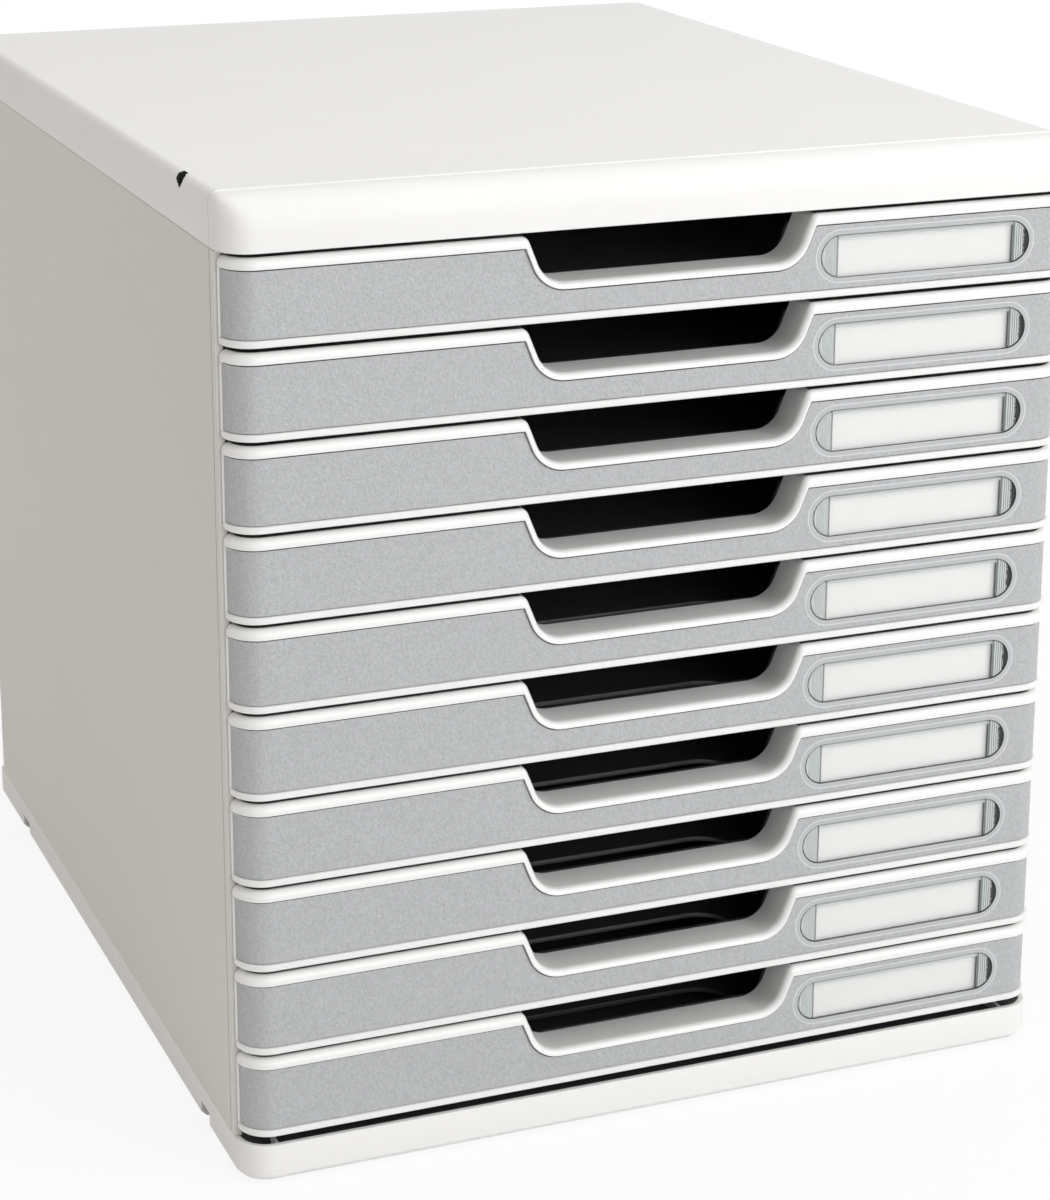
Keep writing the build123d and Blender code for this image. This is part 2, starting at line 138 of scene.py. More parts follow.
def pitted(name, light, dark, roughness, grain_mm, depth_mm):
    """Polystyrene from a spark-eroded mould, and rubber and paper too: fine pits of grain_mm across, and
    a broad faint mottle between two close tones."""
    made, tree, out, where = new_material(name)
    tone = blend(tree, noise(tree, where, MOTTLE_PER_M, 3.0), light, dark)
    pits = noise(tree, where, 1.0 / (grain_mm * MM), 2.0)
    bump = add_node(tree, "ShaderNodeBump", {"Height": pits, "Strength": 0.5, "Distance": depth_mm * MM})
    finish_surface(tree, out, tone, roughness, Normal=bump.outputs["Normal"])
    return made


def finish_cad(node, material, rounding_mm):
    """A CAD node kept in view: its loose triangles are joined, flat ones made one face, and its edges get
    the small round that a mould leaves."""
    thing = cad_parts[node]
    thing.data.materials.clear()
    thing.data.materials.append(material)
    thing.data.polygons.foreach_set("use_smooth", np.ones(len(thing.data.polygons), bool))
    weld = thing.modifiers.new("join", "WELD")
    weld.merge_threshold = WELD * MM
    if rounding_mm:
        flat = thing.modifiers.new("flat", "DECIMATE")
        flat.decimate_type = "DISSOLVE"
        flat.angle_limit = SAME_FACE
        round_off = thing.modifiers.new("round", "BEVEL")
        round_off.width = rounding_mm * MM
        round_off.segments = ROUND_STEPS
        round_off.limit_method = "ANGLE"
        round_off.angle_limit = ROUNDED_FROM
        round_off.use_clamp_overlap = True
    split = thing.modifiers.new("edges", "EDGE_SPLIT")
    split.split_angle = SPLIT_FROM


def place(name, points, faces, materials, body, *nodes, slots=None):
    """Makes a closed piece from points in mm and four-sided faces. Points that are equal to five decimals
    become one. Where the signed tetrahedra under the faces add up to less than nothing, the faces are
    turned round, so that they point outwards."""
    points, index = np.unique(np.round(points, 5), axis=0, return_inverse=True)
    faces = index.ravel()[faces]
    a, b, c, d = (points[faces[:, corner]] for corner in range(4))
    if np.einsum("ij,ij->", a, np.cross(b, c) + np.cross(c, d)) < 0:
        faces = faces[:, ::-1]
    mesh = bpy.data.meshes.new(name)
    mesh.from_pydata((points * MM).tolist(), [], faces.tolist())
    mesh.polygons.foreach_set("use_smooth", np.ones(len(faces), bool))
    mesh.set_sharp_from_angle(angle=SHARP_FROM)
    for material in materials:
        mesh.materials.append(material)
    if slots is not None:
        mesh.polygons.foreach_set("material_index", slots)
    piece = bpy.data.objects.new(name, mesh)
    bpy.context.scene.collection.objects.link(piece)
    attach(piece, body)
    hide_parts(*nodes)


def grid_faces(rows, columns, around):
    """Faces of a grid of points numbered row by row; around joins the last column to the first."""
    first = np.arange(columns if around else columns - 1)
    after = (first + 1) % columns
    base = (np.arange(rows - 1) * columns)[:, None]
    corners = [base + first, base + after, base + columns + after, base + columns + first]
    return np.stack(corners, -1).reshape(-1, 4)


def cap_faces(start, size):
    """Faces that close a loop of size points whose second half runs back over the first."""
    low = start + np.arange(size // 2 - 1)
    high = start + size - 1 - np.arange(size // 2 - 1)
    return np.stack([low, low + 1, high - 1, high], -1)


def wall_faces(first, after, further):
    """Faces over edges that run from first to after, towards the points numbered further on by that much."""
    return np.stack([first, after, after + further, first + further], -1)


cover_plastic = pitted("cover_polystyrene", "F1F0EE", "EDECEA", 0.68, 0.35, 0.03)
side_plastic = pitted("side_polystyrene", "DAD7D2", "D6D3CE", 0.55, 0.35, 0.03)
finish_cad("base", cover_plastic, EDGE_ROUND)
for node in ("left_side", "right_side", "back_panel"):
    finish_cad(node, side_plastic, EDGE_ROUND)

# Cover. One moulded shell: a bullnose along the front that rounds into both front corners like a ball, a
# thin bead behind it across the deck, a fine groove down each side, and four oval slots for the pegs of a
# unit above, whose narrow throats lie in shadow; their walls are painted near black as painted shade.
cover_low, cover_high = (np.array(corner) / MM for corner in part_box("top_cover"))
NOSE_R, SIDE_R, REAR_R = 11.0, 3.0, 0.8
CORNER_R, REAR_CORNER_R, INNER_CORNER_R = 10.5, 1, 0.4
WALL, SKIN = 2.2, 2.5
BEAD_Y, BEAD_HALF, BEAD_UP = -161.8, 0.8, 0.5
GROOVE_Y, GROOVE_HALF, GROOVE_DEEP, GROOVE_LEAN = -160.75, 0.2, 0.6, 0.9
SLOT_Y, SLOT_HALF, SLOT_ACROSS = 130.0, 3.4, -0.9
FOOT_ROUND, FOOT_DROP, PANEL_FRONT = 0.3, 0.25, -163
DECK = cover_high[2] - BEAD_UP

# What the front corner's radius loses on its way up to the deck, and the share that the side wall does.
CORNER_LESS, SIDE_LESS = 9.3, 0.6

# Plain steps of the loop: from the middle to each side, and along the sides before, between and behind
# the slots. Only faces beyond SLOT_SIDE belong to a slot.
ACROSS = [2, 70]
BEFORE_SLOTS, BETWEEN_SLOTS, BEHIND_SLOTS = [-150], [-60, 0, 60], [160]
SLOT_SIDE = 130


def cover_loop(height, nose_in, side_in, rear_in, corner, outside):
    """One level loop of the shell: two straights joined by a quarter circle at the front corner and a
    small one at the rear. On the outside the bead rises by the square root of one less the square of the
    way from its middle, times the squared sine of the edge's lean, so that it dies away down the side.
    The groove goes in by its depth up to GROOVE_LEAN, in radians. Beside the side panels the foot of the
    skirt reaches down by FOOT_DROP and closes the joint."""
    wide, front, rear = cover_high[0] - side_in, cover_low[1] + nose_in, cover_high[1] - rear_in
    turn = np.linspace(0, math.pi / 2, 9)
    rear_turn = turn[::2]
    bead = BEAD_Y + BEAD_HALF * np.array([-1, -0.7, 0, 0.7, 1])
    groove = GROOVE_Y + GROOVE_HALF * np.array([-1.2, -0.8, 0.8, 1.2])
    slot = SLOT_HALF * np.array([-1.15, -1.0, -0.7, -0.35, 0, 0.35, 0.7, 1.0, 1.15])
    along = np.concatenate([
        bead, groove, BEFORE_SLOTS, slot - SLOT_Y, BETWEEN_SLOTS, slot + SLOT_Y, BEHIND_SLOTS])
    x = np.concatenate([
        ACROSS, wide - corner + corner * np.sin(turn), np.full(len(along), wide),
        wide - REAR_CORNER_R + REAR_CORNER_R * np.cos(rear_turn), ACROSS[::-1]])
    y = np.concatenate([
        [front, front], front + corner - corner * np.cos(turn), along,
        rear - REAR_CORNER_R + REAR_CORNER_R * np.sin(rear_turn), [rear, rear]])
    lean = math.asin(min(max((height - DECK + SIDE_R) / SIDE_R, 0), 1))
    bulge = np.sqrt(np.clip(1 - ((y - BEAD_Y) / BEAD_HALF) ** 2, 0, 1))
    swell = outside * BEAD_UP * bulge * math.sin(lean) ** 2
    cut = outside * GROOVE_DEEP * (np.abs(y - GROOVE_Y) < GROOVE_HALF) * (lean < GROOVE_LEAN)
    at_foot = (height < cover_low[2] + FOOT_ROUND / 2) * (y > PANEL_FRONT)
    x = x + swell * math.cos(lean) - cut
    z = height + swell * math.sin(lean) - FOOT_DROP * at_foot
    return np.concatenate([np.stack([x, y, z], -1), np.stack([-x, y, z], -1)[::-1]])


def gone_in(radius, height):
    """How far an edge of that radius has gone in at a height under the deck: the circle's own formula."""
    return radius - math.sqrt(radius ** 2 - max(height - DECK + radius, 0) ** 2)


def inner_level(height, nose_in, side_in, rear_in, corner):
    """The level inside one of the outside: lower by SKIN at the deck and by nothing at the foot, and in by
    the wall, which thins out where the nose and the sides turn over to the deck."""
    lower = SKIN * (height - cover_low[2]) / (DECK - cover_low[2])
    nose_wall = WALL * max(1 - nose_in / NOSE_R, 0)
    side_wall = WALL * (1 - SIDE_LESS * min(side_in / SIDE_R, 1))
    inner_corner = max(corner - WALL, INNER_CORNER_R)
    return height - lower, nose_in + nose_wall, side_in + side_wall, rear_in + WALL, inner_corner


# Each level gives its height, how far the nose, the sides and the rear have gone in, and its corner.
levels = [
    (cover_low[2], FOOT_ROUND, FOOT_ROUND, FOOT_ROUND, CORNER_R),
    (cover_low[2] + FOOT_ROUND, 0, 0, 0, CORNER_R)]
for turn in np.linspace(0, math.pi / 2, 16):
    height = DECK - NOSE_R * (1 - math.sin(turn))
    inward = NOSE_R * (1 - math.cos(turn))
    corner = CORNER_R - CORNER_LESS * inward / NOSE_R
    levels.append((height, inward, gone_in(SIDE_R, height), gone_in(REAR_R, height), corner))
levels += [(DECK, 11.2, 3.6, 1.2, 1.1), (DECK, 11.4, 4.3, 1.6, 1.0), (DECK, 11.6, 7.0, 3.0, 0.9)]
outer = [cover_loop(*level, 1) for level in levels]
inner = [cover_loop(*inner_level(*level), 0) for level in levels]
size = len(outer[0])
inside = len(levels) * size
shell = grid_faces(len(levels), size, True)

# The slots leave out the faces whose middle lies within a circle, measured along the side and over its
# rounded edge. An edge of theirs that no other of them runs back along is on the rim, and gets a wall.
over_edge = np.array([height - DECK + side_in for height, _, side_in, _, _ in levels])
middle = np.concatenate(outer)[shell].mean(1)
along_slot = (np.abs(middle[:, 1]) - SLOT_Y) / SLOT_HALF
across_slot = (over_edge[shell // size].mean(1) - SLOT_ACROSS) / SLOT_HALF
hole = (along_slot ** 2 + across_slot ** 2 < 1) & (np.abs(middle[:, 0]) > SLOT_SIDE)
kept = shell[~hole]
edges = np.stack([shell[hole], np.roll(shell[hole], -1, 1)], -1).reshape(-1, 2)
there, back_again = edges[:, 0] * inside + edges[:, 1], edges[:, 1] * inside + edges[:, 0]
rim = edges[~np.isin(there, back_again)]
slot_walls = wall_faces(rim[:, 0], rim[:, 1], inside)
first = np.arange(size)
foot = wall_faces((first + 1) % size, first, inside)
deck = cap_faces(inside - size, size)
cover_faces = np.concatenate([
    kept, (kept + inside)[:, ::-1], slot_walls, foot, deck, (deck + inside)[:, ::-1]])
# The slot walls are painted near black: painted shade for the shadow in the narrow throats.
painted_throat = np.zeros(len(cover_faces), int)
painted_throat[2 * len(kept):2 * len(kept) + len(slot_walls)] = 1
slot_painted_shade = pitted("slot_wall_painted_shade", "2A2928", "242322", 0.7, 0.4, 0.02)
cover_points = np.concatenate(outer + inner)
cover_materials = [cover_plastic, slot_painted_shade]
place("moulded_cover", cover_points, cover_faces, cover_materials, "casing", "top_cover", slots=painted_throat)

# Floor plate and feet. The plate is black styrene sheet; the pads are soft black rubber.
black_styrene = pitted("black_styrene", "4B4C4F", "434447", 0.38, 0.5, 0.02)
pad_rubber = pitted("pad_rubber", "1E1E1E", "181818", 0.8, 0.4, 0.04)
finish_cad("floor_plate", black_styrene, SHEET_ROUND)
for node in ("foot_fl", "foot_fr", "foot_bl", "foot_br"):
    finish_cad(node, pad_rubber, SHEET_ROUND)

# Trays. Thermoformed black styrene, satin inside, hung by two flanges on the runners of the side panels.
for number in DRAWERS:
    finish_cad("tray_%02d" % number, black_styrene, EDGE_ROUND)

# Drawer fronts. White moulded polystyrene with a satin skin: a flat face that turns round a quarter
# circle at both ends, a hand notch in the middle, and a rounded lip around the seat of the face plate.
# Behind the skin it hooks over the black wall of its tray; the front's own faces in the gaps are painted
# black, partly for that wall and partly as painted shade in the gaps.
front_low, front_high = (np.array(corner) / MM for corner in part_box("front_10"))
PITCH = (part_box("front_01")[0][2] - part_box("front_10")[0][2]) / MM / (LOWEST - 1)
FRONT_Y, FRONT_BACK = front_low[1], front_high[1]
FRONT_H = front_high[2] - front_low[2]
FRONT_R = 10.1
SKIN_FLAT = front_high[0] - FRONT_R
NOTCH_X, NOTCH_R, NOTCH_FLOOR, NOTCH_TURN = 35.7, 9.5, 12.2, math.radians(68)
TIP_R, LEAST_TIP_R = 3.0, 0.6
SHOULDER, BACK_ROUND, SKIN_DEEP = 140.3, 0.5, 2.6

# The face's lower edge is rounded by LOW_ROUND and its upper one by LIP_ROUND, of which the notch and the
# ends take a share. The seat lies in from the outline by the four values, and a little less at its lip.
LOW_ROUND, LIP_ROUND, NOTCH_SHARE, END_SHARE = 0.9, 2.4, 0.8, 0.15
SEAT_LOW, SEAT_TOP, SEAT_NOTCH, SEAT_END, SEAT_LIP = 2.35, 3.5, 2.15, 0.4, 0.15
SEAT_DEPTHS = (0.0, 0.3, 2.3)

# The window, and places along the face past the notch, before the window and behind it.
WINDOW_X, WINDOW_Z, WINDOW_HALF, WINDOW_R, WINDOW_AIR = 88.8, 12.95, 37.4, 6.65, 0.3
NOTCH_END, WINDOW_FROM, WINDOW_TO = 49, 51.0, 128.0


def place_rows(kind, points, faces, materials, node, slots=None):
    """A piece made for the lowest drawer and repeated in every row: each rides on its own drawer and
    replaces the node of that kind."""
    for number in DRAWERS:
        lift = np.array([0, 0, PITCH * (LOWEST - number)])
        place("%s_%02d" % (kind, number), points + lift, faces, materials,
              "drawer_%02d" % number, "%s_%02d" % (node, number), slots=slots)


def window_columns(spread):
    """Places along the face at the window: on each round end r times the cosine of even angles from the
    end of the straight stretch, and a few even steps between."""
    angle = np.linspace(0, math.pi / 2, 11)
    straight = WINDOW_HALF - WINDOW_R
    left = WINDOW_X - straight - (WINDOW_R + spread) * np.cos(angle)
    right = WINDOW_X + straight + (WINDOW_R + spread) * np.sin(angle)
    return np.concatenate([left, np.linspace(left[-1], right[0], 8)[1:-1], right])


def upper_edge(rim, notch_rim, end_rim):
    """Upper outline of the face from the middle to one end: the notch floor, an arc of 68 degrees, a
    straight flank tangent to it, a small arc at the tip, and the top. Each stretch is moved into the face
    by its rim. Gives the place along the face and the height over its lower edge, for both ends."""
    radius = NOTCH_R + notch_rim
    tip = max(TIP_R - (rim + notch_rim) / 2, LEAST_TIP_R)
    arc = np.linspace(0, NOTCH_TURN, 13)
    side_s = NOTCH_X + radius * math.sin(NOTCH_TURN)
    side_z = NOTCH_FLOOR + NOTCH_R - radius * math.cos(NOTCH_TURN)
    corner = side_s + (FRONT_H - rim - side_z) / math.tan(NOTCH_TURN)
    tip_s = corner + tip * math.tan(NOTCH_TURN / 2)
    floor = np.linspace(0, NOTCH_X, 5)[:-1]
    flat = np.concatenate([[WINDOW_FROM], window_columns(WINDOW_AIR), [WINDOW_TO, SKIN_FLAT]])
    bend = SKIN_FLAT + np.linspace(0, FRONT_R * math.pi / 2 - end_rim, 13)[1:]
    s = np.concatenate([
        floor, NOTCH_X + radius * np.sin(arc), tip_s - tip * np.sin(arc[::-1]), flat, bend])
    z = np.concatenate([
        np.full(len(floor), NOTCH_FLOOR - notch_rim), NOTCH_FLOOR + NOTCH_R - radius * np.cos(arc),
        FRONT_H - rim - tip + tip * np.cos(arc[::-1]), np.full(len(flat) + len(bend), FRONT_H - rim)])
    return np.concatenate([-s[:0:-1], s]), np.concatenate([z[:0:-1], z])


def bend_angle(s):
    """How far the face has turned at s: nothing on the flat, a right angle at the end."""
    return np.clip((np.abs(s) - SKIN_FLAT) / FRONT_R, 0, math.pi / 2)


def fold(s, z, depth):
    """Point of the face at s along it, z up and depth behind its skin: x grows with s up to the bend, then
    by the sine of the bend's angle times the radius left at that depth, while y falls back by the cosine."""
    s, z, depth = np.broadcast_arrays(s, z, depth)
    x = np.sign(s) * (np.minimum(np.abs(s), SKIN_FLAT) + (FRONT_R - depth) * np.sin(bend_angle(s)))
    y = FRONT_Y + FRONT_R - (FRONT_R - depth) * np.cos(bend_angle(s))
    return np.stack([x, y, z + front_low[2]], -1)


def face_ring(low_rim, rim, notch_rim, end_rim, low_depth, depth):
    """One closed loop round the face: the lower edge from left to right, then the upper edge back again."""
    s, z = upper_edge(rim, notch_rim, end_rim)
    return np.concatenate([fold(s, low_rim, low_depth), fold(s, z, depth)[::-1]])


def back_ring(rim, behind):
    """The same loop on a plane behind the face, where the ends pull in to the shoulder by the sine of the
    bend."""
    s, z = upper_edge(rim, rim, 0)
    reach = SHOULDER - rim - SKIN_FLAT
    x = np.sign(s) * (np.minimum(np.abs(s), SKIN_FLAT) + reach * np.sin(bend_angle(s)))
    low = np.stack([x, np.full_like(x, behind), np.full_like(x, front_low[2] + rim)], -1)
    high = np.stack([x, np.full_like(x, behind), front_low[2] + z], -1)
    return np.concatenate([low, high[::-1]])


# The front is a row of rings from its back over the lip to the bottom of the seat, closed at both ends.
rings = [back_ring(BACK_ROUND, FRONT_BACK), back_ring(0.0, FRONT_BACK - BACK_ROUND)]
rings.append(face_ring(0, 0, 0, 0, SKIN_DEEP, SKIN_DEEP))
BLACK_RINGS = len(rings) - 1
for turn in np.linspace(0, math.pi / 2, 7):
    low, top = LOW_ROUND * (1 - math.cos(turn)), LIP_ROUND * (1 - math.cos(turn))
    low_depth, depth = LOW_ROUND * (1 - math.sin(turn)), LIP_ROUND * (1 - math.sin(turn))
    rings.append(face_ring(low, top, NOTCH_SHARE * top, END_SHARE * low, low_depth, depth))
for deep in SEAT_DEPTHS:
    lip = SEAT_LIP * (deep == 0)
    rings.append(face_ring(SEAT_LOW - lip, SEAT_TOP - lip, SEAT_NOTCH - lip, SEAT_END - lip, deep, deep))
size = len(rings[0])
front_points = np.concatenate(rings)
front_faces = np.concatenate([
    grid_faces(len(rings), size, True),
    cap_faces(0, size)[:, ::-1],
    cap_faces((len(rings) - 1) * size, size)])
front_plastic = pitted("front_satin_polystyrene", "F1F1EF", "EDEDEB", 0.34, 0.6, 0.004)

# Painted black, for the tray's wall and as painted shade in the gaps, are the back and, up to the skin,
# the faces below and above the front, but not in the notch.
run, _ = upper_edge(0, 0, 0)
run = np.abs(np.concatenate([run, run[::-1]]))[front_faces % size]
below = (front_faces % size).max(1) < size // 2
above = (front_faces % size).min(1) >= size // 2
last_ring = (front_faces // size).max(1)
tray_black_and_gap_shade = (last_ring <= BLACK_RINGS) & (below | (above & (run.min(1) > NOTCH_END)))
tray_black_and_gap_shade |= last_ring == 0
front_materials = [front_plastic, black_styrene]
place_rows("moulded_front", front_points, front_faces, front_materials, "front", tray_black_and_gap_shade.astype(int))

# Face plates. Grey styrene sheet with a leather grain, die-cut to the notch and the window and set
# into the front, with a hair of air round it; its cut edges are painted dark as painted shade, so the air
# reads as a fine dark line.
PLATE_SET, PLATE_T = 0.8, 1.2
PLATE_LOW, PLATE_TOP, PLATE_NOTCH, PLATE_END = 2.6, 3.95, 2.6, 0.7
OPEN_FROM = 0.001
SMOOTH_BAND, GRAIN_WIDE, GRAIN_DEEP, FINE_WIDE, TONES_WIDE = 1.9, 0.9, 0.22, 0.45, 1.1


def plate_chains(depth):
    """Four lines along the plate, from left to right: its lower edge, the window's lower half, the
    window's upper half and the upper edge. Beside the window both halves run together along its middle;
    on the window they part by the square root of r squared less the square of the way past the straight
    stretch. Gives the lines, and at which of their points the halves are apart."""
    s, z = upper_edge(PLATE_TOP, PLATE_NOTCH, PLATE_END)
    past = np.maximum(np.abs(s - WINDOW_X) - (WINDOW_HALF - WINDOW_R), 0)
    half = np.sqrt(np.maximum((WINDOW_R + WINDOW_AIR) ** 2 - past ** 2, 0))
    middle = np.where(np.abs(s) <= WINDOW_FROM, (z + PLATE_LOW) / 2, WINDOW_Z)
    heights = (PLATE_LOW, middle - half, middle + half, z)
    return np.stack([fold(s, height, depth) for height in heights]), half > OPEN_FROM


plate_front, open_columns = plate_chains(PLATE_SET)
plate_back, _ = plate_chains(PLATE_SET + PLATE_T)
columns = plate_front.shape[1]
plate_points = np.concatenate([plate_front.reshape(-1, 3), plate_back.reshape(-1, 3)])
to_back = 4 * columns
strip = grid_faces(4, columns, False)
strip = strip[(strip[:, 0] // columns) != 1]
step = np.arange(columns - 1)
parted = step[open_columns[:-1] | open_columns[1:]]
long_walls = [
    wall_faces(row * columns + chosen, row * columns + chosen + 1, to_back)[:, ::way]
    for row, chosen, way in ((0, step, 1), (1, parted, -1), (2, parted, 1), (3, step, -1))]
row = np.array([0, 2])
end_walls = [
    wall_faces(row * columns + at, (row + 1) * columns + at, to_back)[:, ::way]
    for at, way in ((0, -1), (columns - 1, 1))]
plate_faces = np.concatenate([strip[:, ::-1], strip + to_back, *long_walls, *end_walls])
# The walls round the plate and its window carry the painted shade of the air gap.
painted_shade_walls = (np.arange(len(plate_faces)) >= len(strip)).astype(int)


def window_distance(tree, where):
    """Distance in mm from the window's outline, positive outside: the length of the way past the straight
    stretch and of the height over the window's middle in this drawer's own row, less the radius of the
    round ends. After it come the place along the window, its size, and the height."""
    axes = add_node(tree, "ShaderNodeSeparateXYZ", {"Vector": where})
    along = maths(tree, "MULTIPLY", axes.outputs["X"], 1 / MM)
    along = maths(tree, "SUBTRACT", along, WINDOW_X)
    away = maths(tree, "ABSOLUTE", along)
    past = maths(tree, "SUBTRACT", away, WINDOW_HALF - WINDOW_R)
    past = maths(tree, "MAXIMUM", past, 0.0)
    tall = maths(tree, "MULTIPLY", axes.outputs["Z"], 1 / MM)
    tall = maths(tree, "SUBTRACT", tall, float(front_low[2]))
    tall = maths(tree, "FLOORED_MODULO", tall, PITCH)
    tall = maths(tree, "SUBTRACT", tall, WINDOW_Z)
    reach = add_node(tree, "ShaderNodeCombineXYZ", {"X": past, "Z": tall})
    reach = add_node(tree, "ShaderNodeVectorMath", {0: reach.outputs[0]}, operation="LENGTH")
    return maths(tree, "SUBTRACT", reach.outputs["Value"], WINDOW_R), along, away, tall


def leather_grain(name, light, dark):
    """Calendered styrene: soft pebbles about 0.9 mm across pressed by a roller, which catch the light as a
    fine sparkle, drawn a little coarser and deeper than real so that they show. A smooth band runs round
    the window, with a fine lighter line where the grain begins, which is a painted highlight."""
    made, tree, out, where = new_material(name)
    outside, _, _, _ = window_distance(tree, where)
    grained = ramp(tree, outside, SMOOTH_BAND - 0.1, SMOOTH_BAND + 0.1)
    # Painted highlight: a lighter line where the smooth band meets the grain.
    from_line = maths(tree, "ABSOLUTE", maths(tree, "SUBTRACT", outside, SMOOTH_BAND))
    line = ramp(tree, from_line, 0.1, 0.25, 0.6, 0.0)
    mottle = noise(tree, where, 1 / (TONES_WIDE * MM), 3.0, 0.7)
    cells = add_node(tree, "ShaderNodeTexVoronoi", {
        "Vector": where, "Scale": 1 / (GRAIN_WIDE * MM)}, feature="SMOOTH_F1")
    fine = noise(tree, where, 1 / (FINE_WIDE * MM), 2.0)
    bump = add_node(tree, "ShaderNodeBump", {
        "Height": maths(tree, "ADD", cells.outputs["Distance"], fine),
        "Strength": grained, "Distance": GRAIN_DEEP * MM})
    tone = blend(tree, grained, "B9BABC", blend(tree, mottle, light, dark))
    tone = blend(tree, line, tone, "E4E8E8")
    finish_surface(tree, out, tone, 0.46, Normal=bump.outputs["Normal"])
    return made


plate_plastic = leather_grain("calendered_grey_styrene", "CACCCE", "9B9C9E")
# The cut edges are painted dark as painted shade, so that the hair of air round the plate reads as a fine
# dark line.
plate_edge_shade_paint = pitted("plate_edge_painted_shade", "5A5B5D", "505153", 0.7, 0.4, 0.02)
place_rows("face_plate", plate_points, plate_faces, [plate_plastic, plate_edge_shade_paint], "insert", painted_shade_walls)

# Label windows. Clear styrene lenses with round ends, finely ribbed beside the label, a soft green in
# the edge, snapped into the face plate, with painted shade in the grooves, beside the label, along the
# upper edge and in a dark crescent where the right end turns away; behind each lies an uncoated white card.
LENS_FRONT, LENS_BACK, LENS_ROUND, LEAST_HALF = 0.8, 2.1, 0.35, 0.4

# The ribs' pitch, half their depth, and where they begin and end on both sides of the window's middle.
# The stretches of the face that get fine steps for them are places along it.
RIB, RIB_SWING, RIBS_FROM, RIBS_TO = 0.8, 0.1, 31.6, 36.3
FINE_STRETCHES = ((52.6, 56.7), (120.4, 124.5))
# Where the painted shade of the right end's crescent lies along the window, and how ragged it is, in mm.
CRESCENT_FROM, CRESCENT_TO, CRACKLE = 36.1, 36.5, 0.7


def window_points():
    """Lens as a profile carried along the label: at each place the half height follows the straight
    stretch and the round ends, the back is flat, and the front goes back by a raised cosine in every rib
    between the label and the end."""
    fine = [np.arange(start, end, RIB / 6) for start, end in FINE_STRETCHES]
    s = np.unique(np.round(np.concatenate([window_columns(0), *fine]), 4))
    away = np.abs(s - WINDOW_X)
    past = np.maximum(away - (WINDOW_HALF - WINDOW_R), 0)
    half = np.maximum(np.sqrt(np.maximum(WINDOW_R ** 2 - past ** 2, 0)), LEAST_HALF)
    ribbed = (away > RIBS_FROM) & (away < RIBS_TO)
    front = LENS_FRONT + RIB_SWING * ribbed * (1 - np.cos(2 * math.pi * (away - RIBS_FROM) / RIB))
    edge = np.minimum(LENS_ROUND, half / 2)
    back = np.full_like(s, LENS_BACK)
    loop = [(-half, back), (-half, front + edge), (-half + edge, front),
            (half - edge, front), (half, front + edge), (half, back)]
    return np.stack([fold(s, WINDOW_Z + z, depth) for z, depth in loop], 1)


def clear_styrene(name):
    """Clear sheet that is nearly invisible over the label and denser in its upper edge, a band of painted
    shade. In the ribbed ends it turns a pale green; its darker grooves, a dark line beside the label and a
    dark ragged crescent at the right end are painted shade."""
    made, tree, out, where = new_material(name)
    _, along, away, tall = window_distance(tree, where)
    ribbed = ramp(tree, away, RIBS_FROM - 0.2, RIBS_FROM + 0.1)
    # Painted shade in the grooves between the ribs.
    wave = maths(tree, "SINE", maths(tree, "MULTIPLY", away, 2 * math.pi / RIB))
    grooves = ramp(tree, wave, 0.5, 1.0)
    from_label = maths(tree, "ABSOLUTE", maths(tree, "SUBTRACT", away, RIBS_FROM + 0.2))
    beside = ramp(tree, from_label, 0.15, 0.35, 1.0, 0.0)
    crackle = noise(tree, where, 1 / (CRACKLE * MM), 2.0)
    crescent = ramp(tree, maths(tree, "MULTIPLY_ADD", crackle, 1.5, along), CRESCENT_FROM, CRESCENT_TO)
    tone = "D9DFDC"
    # Painted shade: darker grooves, a dark line beside the label and the crescent at the right end.
    for amount, code in ((grooves, "7E8A87"), (beside, "4A5250"), (crescent, "23282A")):
        tone = blend(tree, amount, tone, code)
    # Painted shade along the upper edge, where the lens is drawn denser.
    upper = ramp(tree, tall, WINDOW_R - 1.25, WINDOW_R - 0.95, 0.04, 0.6)
    density = add_node(tree, "ShaderNodeMix", {"Factor": ribbed, "A": upper, "B": 0.8})
    finish_surface(tree, out, blend(tree, ribbed, "C9CFCE", tone), 0.06, Alpha=density.outputs[0])
    return made


lens_points = window_points()
end = np.array([[0, 1, 4, 5], [1, 2, 3, 4]])
lens_faces = np.concatenate([
    grid_faces(len(lens_points), 6, True), end[:, ::-1], end + 6 * (len(lens_points) - 1)])
place_rows("label_lens", lens_points.reshape(-1, 3), lens_faces, [clear_styrene("clear_styrene")], "window")
card_paper = pitted("card_paper", "FDFEFF", "FBFDFF", 0.9, 0.2, 0.01)
for number in DRAWERS:
    finish_cad("card_%02d" % number, card_paper, 0.0)

# Floor, light and camera. A pale floor that the camera sees as white, with a faint shadow close to the
# unit, and large soft lamps.
FLOOR_HALF = 9

# Between these distances from the middle, in metres, the floor turns from nearly white to white.
SHADE_FROM, SHADE_TO, SHADE_WHITE = 0.25, 0.8, 0.88


def seen(tree):
    """1 for rays that come from the camera, a glossy surface or a clear one, otherwise 0."""
    path = add_node(tree, "ShaderNodeLightPath").outputs
    direct = maths(tree, "MAXIMUM", path["Is Camera Ray"], path["Is Glossy Ray"])
    return maths(tree, "MAXIMUM", direct, path["Is Transmission Ray"])


def switch(tree, amount, first, second):
    """Two shader nodes mixed: the first at 0, the second at 1."""
    inputs = {0: amount, 1: first.outputs[0], 2: second.outputs[0]}
    return add_node(tree, "ShaderNodeMixShader", inputs)


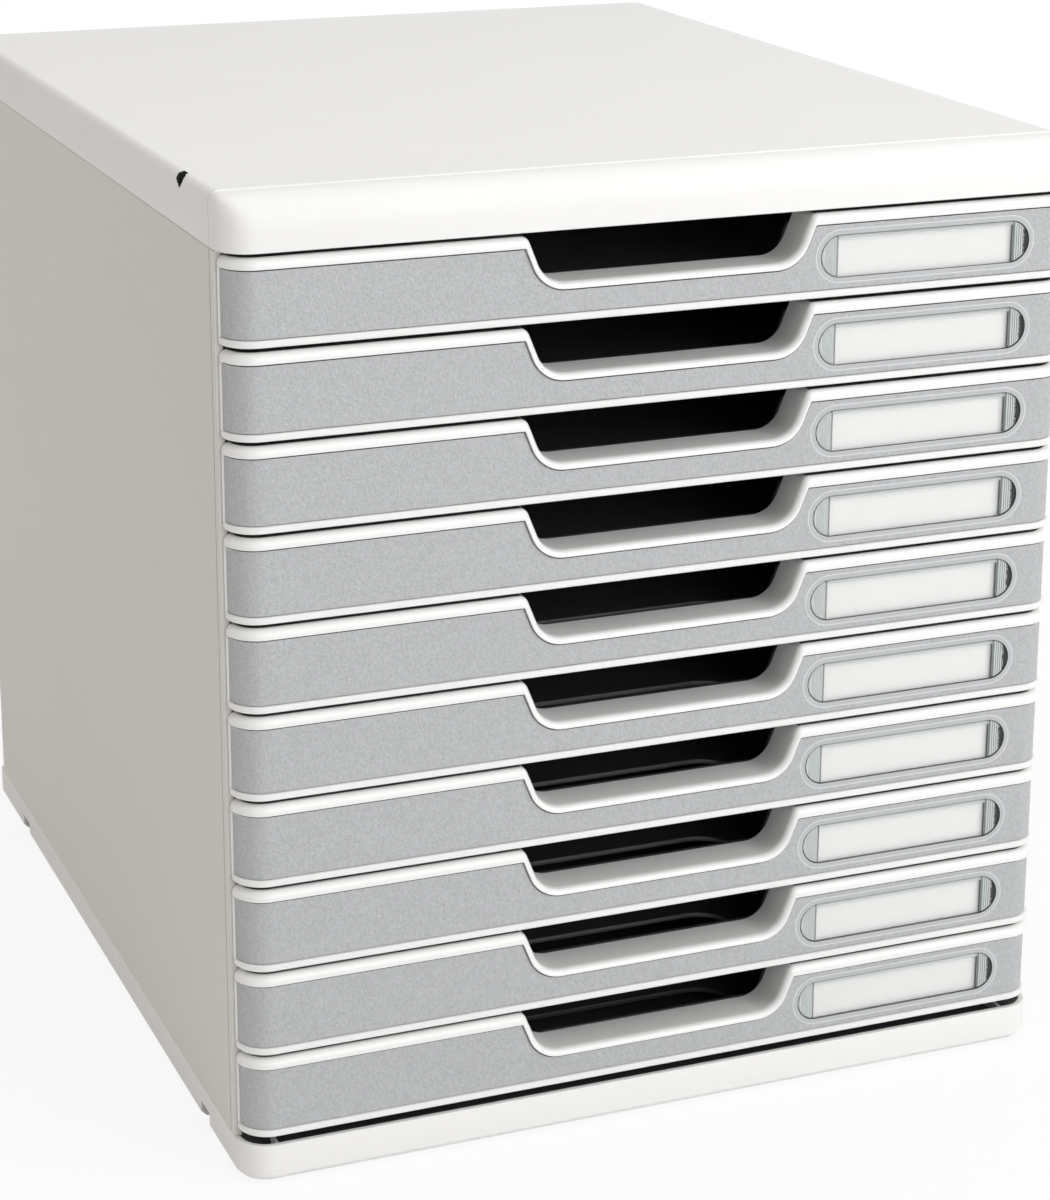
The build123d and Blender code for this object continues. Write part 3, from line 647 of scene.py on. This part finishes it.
floor_mesh = bpy.data.meshes.new("floor")
corners = [(x * FLOOR_HALF, y * FLOOR_HALF, 0) for x, y in ((-1, -1), (1, -1), (1, 1), (-1, 1))]
floor_mesh.from_pydata(corners, [], [(0, 1, 2, 3)])
floor = bpy.data.objects.new("floor", floor_mesh)
bpy.context.scene.collection.objects.link(floor)
floor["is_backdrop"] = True
pale_floor, tree, out, where = new_material("pale_floor")
matt = add_node(tree, "ShaderNodeBsdfDiffuse", {"Color": linear("F2F2F2")})
shine = add_node(tree, "ShaderNodeEmission", {"Color": linear("FFFFFF"), "Strength": 1.0})
far = add_node(tree, "ShaderNodeVectorMath", {0: where}, operation="LENGTH")
whiter = ramp(tree, far.outputs["Value"], SHADE_FROM, SHADE_TO, SHADE_WHITE, 1.0)
ground = switch(tree, seen(tree), matt, switch(tree, whiter, matt, shine))
tree.links.new(ground.outputs[0], out.inputs["Surface"])
floor_mesh.materials.append(pale_floor)

world = bpy.data.worlds.new("studio")
bpy.context.scene.world = world
world.use_nodes = True
tree = world.node_tree
tree.nodes.clear()
out = add_node(tree, "ShaderNodeOutputWorld")
dim, plain = (
    add_node(tree, "ShaderNodeBackground", {"Color": linear("FFFFFF"), "Strength": strength})
    for strength in (0.34, 1.0))
tree.links.new(switch(tree, seen(tree), dim, plain).outputs[0], out.inputs["Surface"])


def soft_lamp(name, place, aim, size, power, tone="FFFFFF"):
    """A square soft box of the given size in metres at place, turned to face aim."""
    data = bpy.data.lights.new(name, "AREA")
    data.shape = "SQUARE"
    data.size = size
    data.energy = power
    data.color = linear(tone)[:3]
    lamp = bpy.data.objects.new(name, data)
    bpy.context.scene.collection.objects.link(lamp)
    lamp.location = place
    away = np.array(aim, float) - np.array(place, float)
    flat = math.hypot(away[0], away[1])
    lamp.rotation_euler = (math.atan2(flat, -away[2]), 0, math.atan2(away[1], away[0]) - math.pi / 2)


soft_lamp("key", (1.2, -1.4, 1.25), (0, 0, 0.15), 1.1, 17)
soft_lamp("above", (0.2, 0.0, 2.2), (0, 0, 0.3), 1.6, 13.5)
soft_lamp("front", (0.25, -1.9, 0.75), (0, 0, 0.16), 0.9, 9)
soft_lamp("warm", (-2.2, 0.3, 0.9), (0, 0, 0.16), 1.6, 7, "FFF0E2")

# The camera looks from the front left and above. Its focal length is given in pixels of a picture that
# is 1200 pixels high, and its shift is a share of that height.
AZIMUTH, ELEVATION, ROLL = math.radians(-21.93), math.radians(16.06), math.radians(-0.23)
DISTANCE, FOCAL_PX, PICTURE_H, SENSOR, SHIFT = 1130.80, 3040.82, 1200, 36, -0.12
TARGET = (21.19, 0, 178.42)
eye = bpy.data.cameras.new("eye")
camera = bpy.data.objects.new("eye", eye)
bpy.context.scene.collection.objects.link(camera)
bpy.context.scene.camera = camera
eye.sensor_width = SENSOR
eye.lens = FOCAL_PX / PICTURE_H * SENSOR
eye.shift_y = SHIFT
level = math.cos(ELEVATION)
back = np.array([math.sin(AZIMUTH) * level, -math.cos(AZIMUTH) * level, math.sin(ELEVATION)])
right = np.array([math.cos(AZIMUTH), math.sin(AZIMUTH), 0])
up = np.cross(back, right)
pose = np.eye(4)
pose[:3, 0] = math.cos(ROLL) * right - math.sin(ROLL) * up
pose[:3, 1] = math.sin(ROLL) * right + math.cos(ROLL) * up
pose[:3, 2] = back
pose[:3, 3] = (np.array(TARGET) + back * DISTANCE) * MM
camera.matrix_world = Matrix(pose.tolist())

bpy.context.scene.view_settings.view_transform = "Standard"
low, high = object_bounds()
